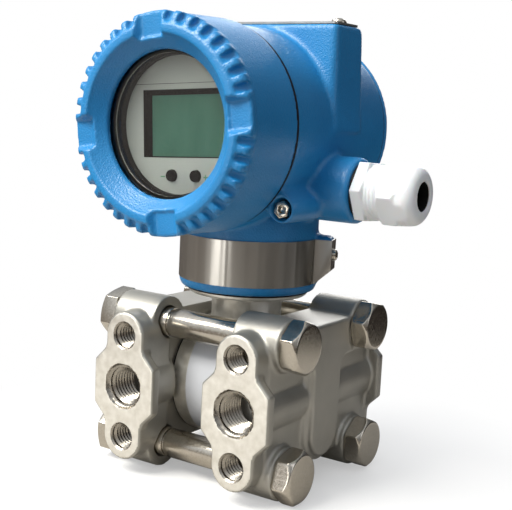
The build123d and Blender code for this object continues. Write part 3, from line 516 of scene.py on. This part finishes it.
def crisp_copy(node, name, width_mm):
    """A merged copy with flat faces made whole and each sharp edge broken by width_mm."""
    piece = merged_copy(node, name)
    bpy.ops.object.mode_set(mode="EDIT")
    bpy.ops.mesh.select_all(action="SELECT")
    bpy.ops.mesh.dissolve_limited(angle_limit=math.radians(0.6))
    bpy.ops.object.mode_set(mode="OBJECT")
    return break_edges(piece, width_mm)


def dress(piece, node, body, *finishes):
    """Gives a piece its finishes, hides the node that it stands for, and fixes it to its body."""
    piece.data.materials.clear()
    for made in finishes:
        piece.data.materials.append(made)
    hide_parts(node)
    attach(piece, body)
    print(piece.name, len(piece.data.polygons), "faces")


# %% Head and covers
dress(soften(merged_copy("housing", "soft_housing"), 0.9, 9), "housing", "head", enamel)
dress(soften(merged_copy("front_cover", "soft_front_cover"), 0.6, 5), "front_cover", "front_cover", enamel)
dress(soften(merged_copy("rear_cover", "soft_rear_cover"), 0.8, 5), "rear_cover", "rear_cover", enamel)

# %% Crisp pieces
dress(crisp_copy("flange_nuts", "worn_nuts", 0.2), "flange_nuts", "base", bolt_steel)
dress(crisp_copy("tag_band", "rolled_tag_band", 0.1), "tag_band", "head", strip_steel)
dress(crisp_copy("sensor_body", "turned_sensor_body", 0.2), "sensor_body", "base", milled_steel)

# %% [markdown]
# ## Bolts
# A bolt head starts as hexagon bar, and a lathe then turns its end to a cone, which leaves the six
# arcs that catch the light. The same two steps make it here: a six-sided bar and a turned bar with
# a bevelled end, of which only what they share is kept. The four heads stopped at four different
# angles when they were tightened. The shank is alike on all four, so it is modelled once.

# %% Tools for bars


def bar(name, axis, ends, centre, radius, sides=96, turn=0.0):
    """A round or many-sided bar along X or Y, between two ends in millimetres from the neck's axis."""
    bpy.ops.object.select_all(action="DESELECT")
    middle = sum(ends) / 2
    place = at(middle, *centre) if axis == "X" else at(centre[0], middle, centre[1])
    tilt = Matrix.Rotation(math.radians(90), 4, "Y" if axis == "X" else "X")
    spin = Matrix.Rotation(math.radians(turn), 4, axis)
    bpy.ops.mesh.primitive_cylinder_add(vertices=sides, radius=radius * MM, depth=(ends[1] - ends[0]) * MM,
                                        location=place, rotation=(spin @ tilt).to_euler())
    piece = bpy.context.object
    piece.name = name
    bpy.ops.object.transform_apply(location=True, rotation=True, scale=True)
    return piece


def round_off(piece, offset_mm, steps=1):
    """Bevels the end face of a bar that looks along +X."""
    only(piece)
    bpy.ops.object.mode_set(mode="EDIT")
    bpy.ops.mesh.select_mode(type="FACE")
    bpy.ops.object.mode_set(mode="OBJECT")
    for face in piece.data.polygons:
        face.select = face.normal.x > 0.9
    bpy.ops.object.mode_set(mode="EDIT")
    bpy.ops.mesh.bevel(offset=offset_mm * MM, segments=steps, affect="EDGES")
    bpy.ops.object.mode_set(mode="OBJECT")
    return piece


def cut(piece, cutter, operation="DIFFERENCE"):
    """Takes the cutter out of the piece, adds it or keeps what they share, and removes the cutter."""
    tool = piece.modifiers.new("tool", "BOOLEAN")
    tool.operation, tool.solver, tool.object = operation, "MANIFOLD", cutter
    apply_modifiers(piece)
    bpy.data.objects.remove(cutter)


def join(pieces, name):
    """Several meshes as one object at the origin."""
    bpy.ops.object.select_all(action="DESELECT")
    for piece in pieces:
        piece.select_set(True)
    bpy.context.view_layer.objects.active = pieces[0]
    bpy.ops.object.join()
    whole = bpy.context.object
    bpy.ops.object.transform_apply(location=True, rotation=True, scale=True)
    whole.name = name
    return whole


# %% Hexagon bolts
HEX_R = 19.0 / math.sqrt(3)
FLANGE_BOLTS = ((-27.5, 25.0, 38.0), (27.5, 25.0, 47.0), (-27.5, -25.0, 15.0), (27.5, -25.0, 35.0))
shank = bar("shank", "X", (-49.0, 40.2), (0.0, 0.0), 5.9)
groove = bar("groove", "X", (-16.2, -15.3), (0.0, 0.0), 6.5)
cut(groove, bar("core", "X", (-17.0, -14.0), (0.0, 0.0), 5.1))
cut(shank, groove)
break_edges(shank, 0.2)
bolts = []
for y, z, turn in FLANGE_BOLTS:
    head = bar("bolt_head", "X", (40.0, 47.5), (y, z), HEX_R, 6, turn)
    cut(head, round_off(bar("turned", "X", (39.0, 47.5), (y, z), 11.1), 2.0), "INTERSECT")
    bolts += [soften(head, 0.4, 2), moved_copy(shank, "shank", Matrix.Translation((0, y * MM, z * MM)))]
bpy.data.objects.remove(shank)
dress(join(bolts, "hexagon_bolts"), "flange_bolts", "base", bolt_steel)

# %% [markdown]
# ## The cover's seal
# The front cover clamps a rubber ring. Pressed out into the gap it draws the dark line round the head.
# It is made wider than the gap, out past the housing's surface, so its black is partly the seal and
# partly painted shade in the gap. It gets the section of a pressed ring, a flat band with rounded
# edges, and not a round one. The band is a short bar with its middle cut out.

# %% Pressed seal, widened for painted gap shade
# An outer radius of 39.9 stands past the housing's 39.7, so the black band also paints the shade in the gap.
seal_and_gap_shade = bar("cover_seal_with_painted_gap_shade", "Y", (-32.65, -30.8), (0.0, HEAD_Z), 39.9)
cut(seal_and_gap_shade, bar("opening", "Y", (-34.0, -30.0), (0.0, HEAD_Z), 37.95))
dress(break_edges(seal_and_gap_shade, 0.2), "front_cover_oring", "front_ring", rubber)

# %% [markdown]
# ## The cable gland
# The gland is moulded in nylon, and a mould leaves nothing sharp. Its body keeps the CAD shape and
# gains three ribs, which are rings sunk halfway into it. Its nut is a hexagon with a long dome:
# a rounded bar and a bevelled shoulder are added together, and what they share with the hexagon is
# kept. Both are then softened, and inside the nut's mouth the black seal shows.

# %% Gland body
GLAND = (0.0, CONDUIT_Z)
gland = merged_copy("gland_body", "moulded_gland_body")
for x in (57.0, 58.5, 60.0):
    bpy.ops.object.select_all(action="DESELECT")
    bpy.ops.mesh.primitive_torus_add(major_segments=96, minor_segments=12, major_radius=10.15 * MM,
                                     minor_radius=0.5 * MM, location=at(x, *GLAND),
                                     rotation=(0, math.radians(90), 0))
    rib = bpy.context.object
    bpy.ops.object.transform_apply(location=True, rotation=True, scale=True)
    cut(gland, rib, "UNION")
dress(soften(gland, 0.38, 2), "gland_body", "head", nylon)

# %% Gland nut
nut = bar("moulded_gland_nut", "X", (61.6, 76.4), GLAND, 22 / math.sqrt(3), 6, 3.6)
dome = round_off(bar("dome", "X", (60.5, 76.4), GLAND, 10.95), 4.0, 12)
cut(dome, round_off(bar("shoulder", "X", (61.0, 70.4), GLAND, 13.2), 2.6), "UNION")
cut(nut, dome, "INTERSECT")
cut(nut, bar("bore", "X", (60.0, 78.0), GLAND, 5.6))
cut(nut, bar("seal_room", "X", (60.0, 71.0), GLAND, 9.1))
dress(soften(nut, 0.34, 6), "gland_nut", "gland_nut", nylon, rubber)
for face in nut.data.polygons:
    middle = face.center / MM
    if math.hypot(middle.y - NECK_Y, middle.z - CONDUIT_Z) < 5.9 and middle.x < 75.6:
        face.material_index = 1

# %% [markdown]
# ## The lock screw
# A small hexagon socket screw beside the cover keeps it from turning. It is a six-sided bar with a
# smaller six-sided bar taken out of it, and a thin black seal fills the pocket round it.

# %% Cover lock screw
LOCK = (34.01, 75.95)
screw = bar("hex_lock_screw", "Y", (-31.0, -23.0), LOCK, 6.0 / math.sqrt(3), 6, 12.0)
cut(screw, bar("socket", "Y", (-32.0, -29.4), LOCK, 1.5, 6, 12.0))
dress(break_edges(screw, 0.22), "cover_lock_screw", "head", bolt_steel)
washer = break_edges(bar("lock_pocket_seal", "Y", (-28.4, -27.62), LOCK, 4.15), 0.1)
washer.data.materials.append(rubber)
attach(washer, "head")
print(washer.name, len(washer.data.polygons), "faces")

# %% [markdown]
# ## The display
# The cell sits behind its window in a black border, which also lines the window's walls and is
# wider at the left and top. The border starts as a box of the window's size. Its front face goes, its
# rear face is inset and the inset face is sized and moved to the part that stays clear, because the
# cell shows more at the right and below. That face goes too, and Solidify gives what is left a wall.

# %% Tools for the display


def pick_faces(obj, test):
    """Selects the faces of obj, in edit mode, whose normal passes the test."""
    bpy.ops.object.mode_set(mode="OBJECT")
    for face in obj.data.polygons:
        face.select = test(face.normal)
    bpy.ops.object.mode_set(mode="EDIT")


def box(name, low, high):
    """A block between two corners given from the neck's axis, in millimetres."""
    a, b = at(*low), at(*high)
    bpy.ops.object.select_all(action="DESELECT")
    bpy.ops.mesh.primitive_cube_add(size=1, location=(a + b) / 2, scale=b - a)
    piece = bpy.context.object
    piece.name = name
    bpy.ops.object.transform_apply(location=True, rotation=True, scale=True)
    return piece


# %% Display black border
FACE_Y = -48.5
WINDOW_W, WINDOW_H, WINDOW_DEEP = 38.0, 25.0, 2.4
CLEAR_W, CLEAR_H = 35.0, 22.6
ROOM, BORDER = 0.02, 1.0

half_w, half_h = WINDOW_W / 2 - ROOM, WINDOW_H / 2 - ROOM
rear_y = FACE_Y + WINDOW_DEEP - 0.05
# A black border round the cell, wider at the left and top, lining the window's walls.
black_border = box("lcd_black_border", (-half_w, FACE_Y + 0.1, HEAD_Z - half_h), (half_w, rear_y, HEAD_Z + half_h))
bpy.ops.object.mode_set(mode="EDIT")
bpy.ops.mesh.select_mode(type="FACE")
pick_faces(black_border, lambda normal: normal.y < -0.5)
bpy.ops.mesh.delete(type="FACE")
pick_faces(black_border, lambda normal: normal.y > 0.5)
bpy.ops.mesh.inset(thickness=BORDER * MM, depth=0)
bpy.ops.transform.resize(value=(CLEAR_W / 2 / (half_w - BORDER), 1, CLEAR_H / 2 / (half_h - BORDER)),
                         center_override=at(0, rear_y, HEAD_Z))
bpy.ops.transform.translate(value=(0.9 * MM, 0, -0.8 * MM))
bpy.ops.mesh.delete(type="FACE")
bpy.ops.object.mode_set(mode="OBJECT")
wall = black_border.modifiers.new("wall", "SOLIDIFY")
wall.thickness, wall.offset = 0.12 * MM, -1.0
apply_modifiers(black_border)
print(black_border.name, len(black_border.data.polygons), "faces")

# %% [markdown]
# The display insert was snapped into its cup a little askew: turned by three degrees and 2 mm off
# centre. One matrix says so, and everything that belongs to the insert gets it. The marks beside
# the keys are printed, so they are slim blocks that stand out by the thickness of the ink.

# %% Display insert
axis = Matrix.Translation((0, 0, HEAD_Z * MM))
askew = (Matrix.Translation((2.1 * MM, 0, 0.7 * MM))
         @ axis @ Matrix.Rotation(math.radians(-3.2), 4, "Y") @ axis.inverted())
for node, name, body, made in (("display_faceplate", "snapped_faceplate", "head", foil),
                               ("lcd_panel", "snapped_lcd", "head", cell),
                               ("button_left", "left_key", "button_left", black_abs),
                               ("button_right", "right_key", "button_right", black_abs)):
    piece = crisp_copy(node, name, 0.12)
    piece.data.transform(askew)
    dress(piece, node, body, made)

# %% Black border, marks and seam
INK_FRONT, INK_REAR = -48.53, -48.45
flat_pieces = [(black_border, black_abs, "black_plastic")]
for name, left, right, low, high in (("mark_minus", -10.9, -8.9, 85.1, 85.5),
                                     ("mark_plus_bar", 8.9, 10.9, 85.1, 85.5),
                                     ("mark_plus_post", 9.7, 10.1, 84.3, 86.3)):
    flat_pieces.append((box(name, (left, INK_FRONT, low), (right, INK_REAR, high)), ink, "faceplate_grey"))
seam = box("faceplate_seam", (-24.4, -48.52, 119.35), (24.4, INK_REAR, 119.5))
flat_pieces.append((seam, black_abs, "black_plastic"))
for piece, made, slot in flat_pieces:
    piece.data.transform(askew)
    piece.data.materials.append(made)
    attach(piece, "head")
print([piece.name for piece, made, slot in flat_pieces])

# %% [markdown]
# ## Threads
# The process ports and the manifold holes are tapped, and their turns are what the eye finds first
# in the pale faces. A bump map would fail at the rim, where the turns are seen against the dark. A
# thread is one small zigzag carried round and up a helix, which is just what the Screw modifier
# does. Solidify then gives the sheet a wall that sinks into the casting.

# %% Tools for threads


def zigzag(name, start, moves):
    """A line drawn point by point: the corners of a thread's section."""
    bpy.ops.object.select_all(action="DESELECT")
    bpy.ops.mesh.primitive_plane_add(size=0.1 * MM, location=start)
    line = bpy.context.object
    line.name = name
    bpy.ops.object.transform_apply(location=True, rotation=False, scale=False)
    bpy.ops.object.mode_set(mode="EDIT")
    bpy.ops.mesh.select_mode(type="VERT")
    bpy.ops.mesh.select_all(action="SELECT")
    bpy.ops.mesh.merge(type="CENTER")
    for move in moves:
        bpy.ops.mesh.extrude_vertices_move(TRANSFORM_OT_translate={"value": move})
    bpy.ops.object.mode_set(mode="OBJECT")
    return line


def thread(name, outer_mm, inner_mm, pitch_mm, turns):
    """An inner thread along -Z from z = 0, round the Z axis."""
    deep = (outer_mm - inner_mm) * MM
    pitch = pitch_mm * MM
    # One turn of the section: a flank in, the narrow crest, a flank out and the root.
    steps = [(-deep, 0, -0.40 * pitch), (0, 0, -0.14 * pitch),
             (deep, 0, -0.40 * pitch), (0, 0, -0.06 * pitch)]
    line = zigzag(name, (outer_mm * MM, 0, 0), steps)
    screw = line.modifiers.new("turns", "SCREW")
    screw.axis, screw.steps, screw.render_steps, screw.iterations = "Z", 40, 40, turns
    screw.screw_offset = -pitch
    screw.use_merge_vertices, screw.merge_threshold = True, 0.001 * MM
    apply_modifiers(line)
    bpy.ops.object.mode_set(mode="EDIT")
    bpy.ops.mesh.select_all(action="SELECT")
    bpy.ops.mesh.remove_doubles(threshold=0.002 * MM)
    bpy.ops.mesh.normals_make_consistent(inside=False)
    bpy.ops.object.mode_set(mode="OBJECT")
    # The sheet is open, so its faces may agree on the wrong side: they have to look at the axis.
    middle_face = line.data.polygons[len(line.data.polygons) // 2]
    if middle_face.normal.xy.dot(middle_face.center.xy) > 0:
        line.data.flip_normals()
    wall = line.modifiers.new("wall", "SOLIDIFY")
    wall.thickness, wall.offset = 0.35 * MM, -1.0
    apply_modifiers(line)
    bpy.ops.object.shade_smooth_by_angle(angle=math.radians(30))
    line.data.materials.append(tapped_steel)
    return line


# %% Three threads
PORT_R, TAPPED_R, REAR_R = 7.7, 5.1, 4.9
port_thread = thread("port_thread", PORT_R, 6.7, 1.7, 8)
tapped_thread = thread("tapped_thread", TAPPED_R, 4.1, 1.6, 6)
rear_thread = thread("rear_thread", REAR_R, 4.0, 1.6, 6)
print("faces in each thread:", [len(t.data.polygons) for t in (port_thread, tapped_thread, rear_thread)])

# %% [markdown]
# ## Machined flanges
# A flange is cast first and machined afterwards, and it is made in that order here. The soft copy is
# the casting. Cutters for the holes and the countersinks are then taken out of it, which leaves
# crisp edges only where a tool has been. Each thread is set into its hole. The finish of a face
# follows from its place: milled on the four plates, tapped round the holes, cast everywhere else.

# %% Tools for flanges


def round_cutter(x, y0, y1, z, r0, r1):
    """A tool along Y: radius r0 at y0 and r1 at y1, in millimetres from the front port faces."""
    bpy.ops.object.select_all(action="DESELECT")
    bpy.ops.mesh.primitive_cone_add(vertices=72, radius1=r0 * MM, radius2=r1 * MM, depth=abs(y1 - y0) * MM,
                                    location=(x * MM, (y0 + y1) / 2 * MM, z * MM),
                                    rotation=(math.radians(-90 if y1 > y0 else 90), 0, 0))
    return bpy.context.object


def set_thread(source, x, y, z, inward):
    """A copy of a thread, its mouth at y. Inward is 1 where it runs along +Y and -1 along -Y."""
    turn = Matrix.Rotation(math.radians(90 * inward), 4, "X")
    return moved_copy(source, source.name + "_copy", Matrix.Translation((x * MM, y * MM, z * MM)) @ turn)


def machined(face, x):
    """Which finish a face of a flange has: 0 cast, 1 milled, 2 tapped. The ports are at x."""
    centre = face.center / MM
    if abs(face.normal.y) > 0.9 and min(abs(centre.y), abs(centre.y - REAR_Y)) < 0.35:
        return 1
    small = min(math.hypot(centre.x - x, centre.z - z) for z in (-HOLE_Z, HOLE_Z)) < TAPPED_R + 0.9
    large = math.hypot(centre.x - x, centre.z) < PORT_R + 1.6
    return 2 if (small or large) and (centre.y < 15 or centre.y > 80) else 0


def flange(side, name, node):
    """One flange, with its holes cut and its threads set in. Side is 1 for +X and -1 for -X."""
    casting = soften(merged_copy(node, name), 0.6, 6)
    x = side * PORT_X
    tools, mouths, threads = [], [], []
    for face, inward, source, r in ((0.0, 1, tapped_thread, TAPPED_R), (REAR_Y, -1, rear_thread, REAR_R)):
        mouth = face + inward * 0.75
        for z in (-HOLE_Z, HOLE_Z):
            tools.append(round_cutter(x, face - inward * 2, face + inward * 10.5, z, r, r))
            mouths.append(round_cutter(x, face - inward * 0.3, mouth, z, r + 0.95, r - 0.1))
            threads.append(set_thread(source, x, mouth, z, inward))
    tools.append(round_cutter(x, 1.0, 15.0, 0, PORT_R, PORT_R))
    threads.append(set_thread(port_thread, x, 1.75, 0, 1))
    cut(casting, join(tools, "holes"))
    cut(casting, join(mouths, "countersinks"))
    casting.data.materials.clear()
    for made in (cast_steel, milled_steel, tapped_steel):
        casting.data.materials.append(made)
    for face in casting.data.polygons:
        face.material_index = machined(face, x)
    only(casting)
    bpy.ops.object.shade_smooth_by_angle(angle=math.radians(32))
    whole = join([casting] + threads, name)
    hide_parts(node)
    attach(whole, "base")
    print(name, len(whole.data.polygons), "faces")


# %% Both flanges
flange(1, "machined_flange_high", "flange_high")
flange(-1, "machined_flange_low", "flange_low")
for spare in (port_thread, tapped_thread, rear_thread):
    bpy.data.objects.remove(spare)

# %% [markdown]
# ## Dressing the CAD nodes
# A node whose shape is right keeps its mesh and only gets its finish.

# %% Finish of each node
NODES_IN = (
    (turned_steel, ("drain_plugs", "diaphragm_high", "diaphragm_low", "conduit_plug")),
    (bolt_steel, ("tag_band_screw", "nameplate_screws", "zero_adjuster", "span_adjuster", "terminal_screws",
                  "inner_ground_screw")),
    (rubber, ("gasket_high", "gasket_low", "neck_oring", "gland_washer", "gland_seal", "conduit_plug_washer",
              "rear_cover_oring")),
    (black_abs, ("display_bezel", "terminal_block")),
    (label_paper, ("sensor_label",)),
    (plate_metal, ("nameplate",)),
    (window, ("window_glass",)),
    (ring_black, ("window_retaining_ring",)),
    (board, ("display_board",)),
    (potting, ("electronics_module",)),
)
for made, names in NODES_IN:
    for name in names:
        mesh = nodes[name].data
        mesh.materials.clear()
        mesh.materials.append(made)
    print(made.name, "on", len(names))
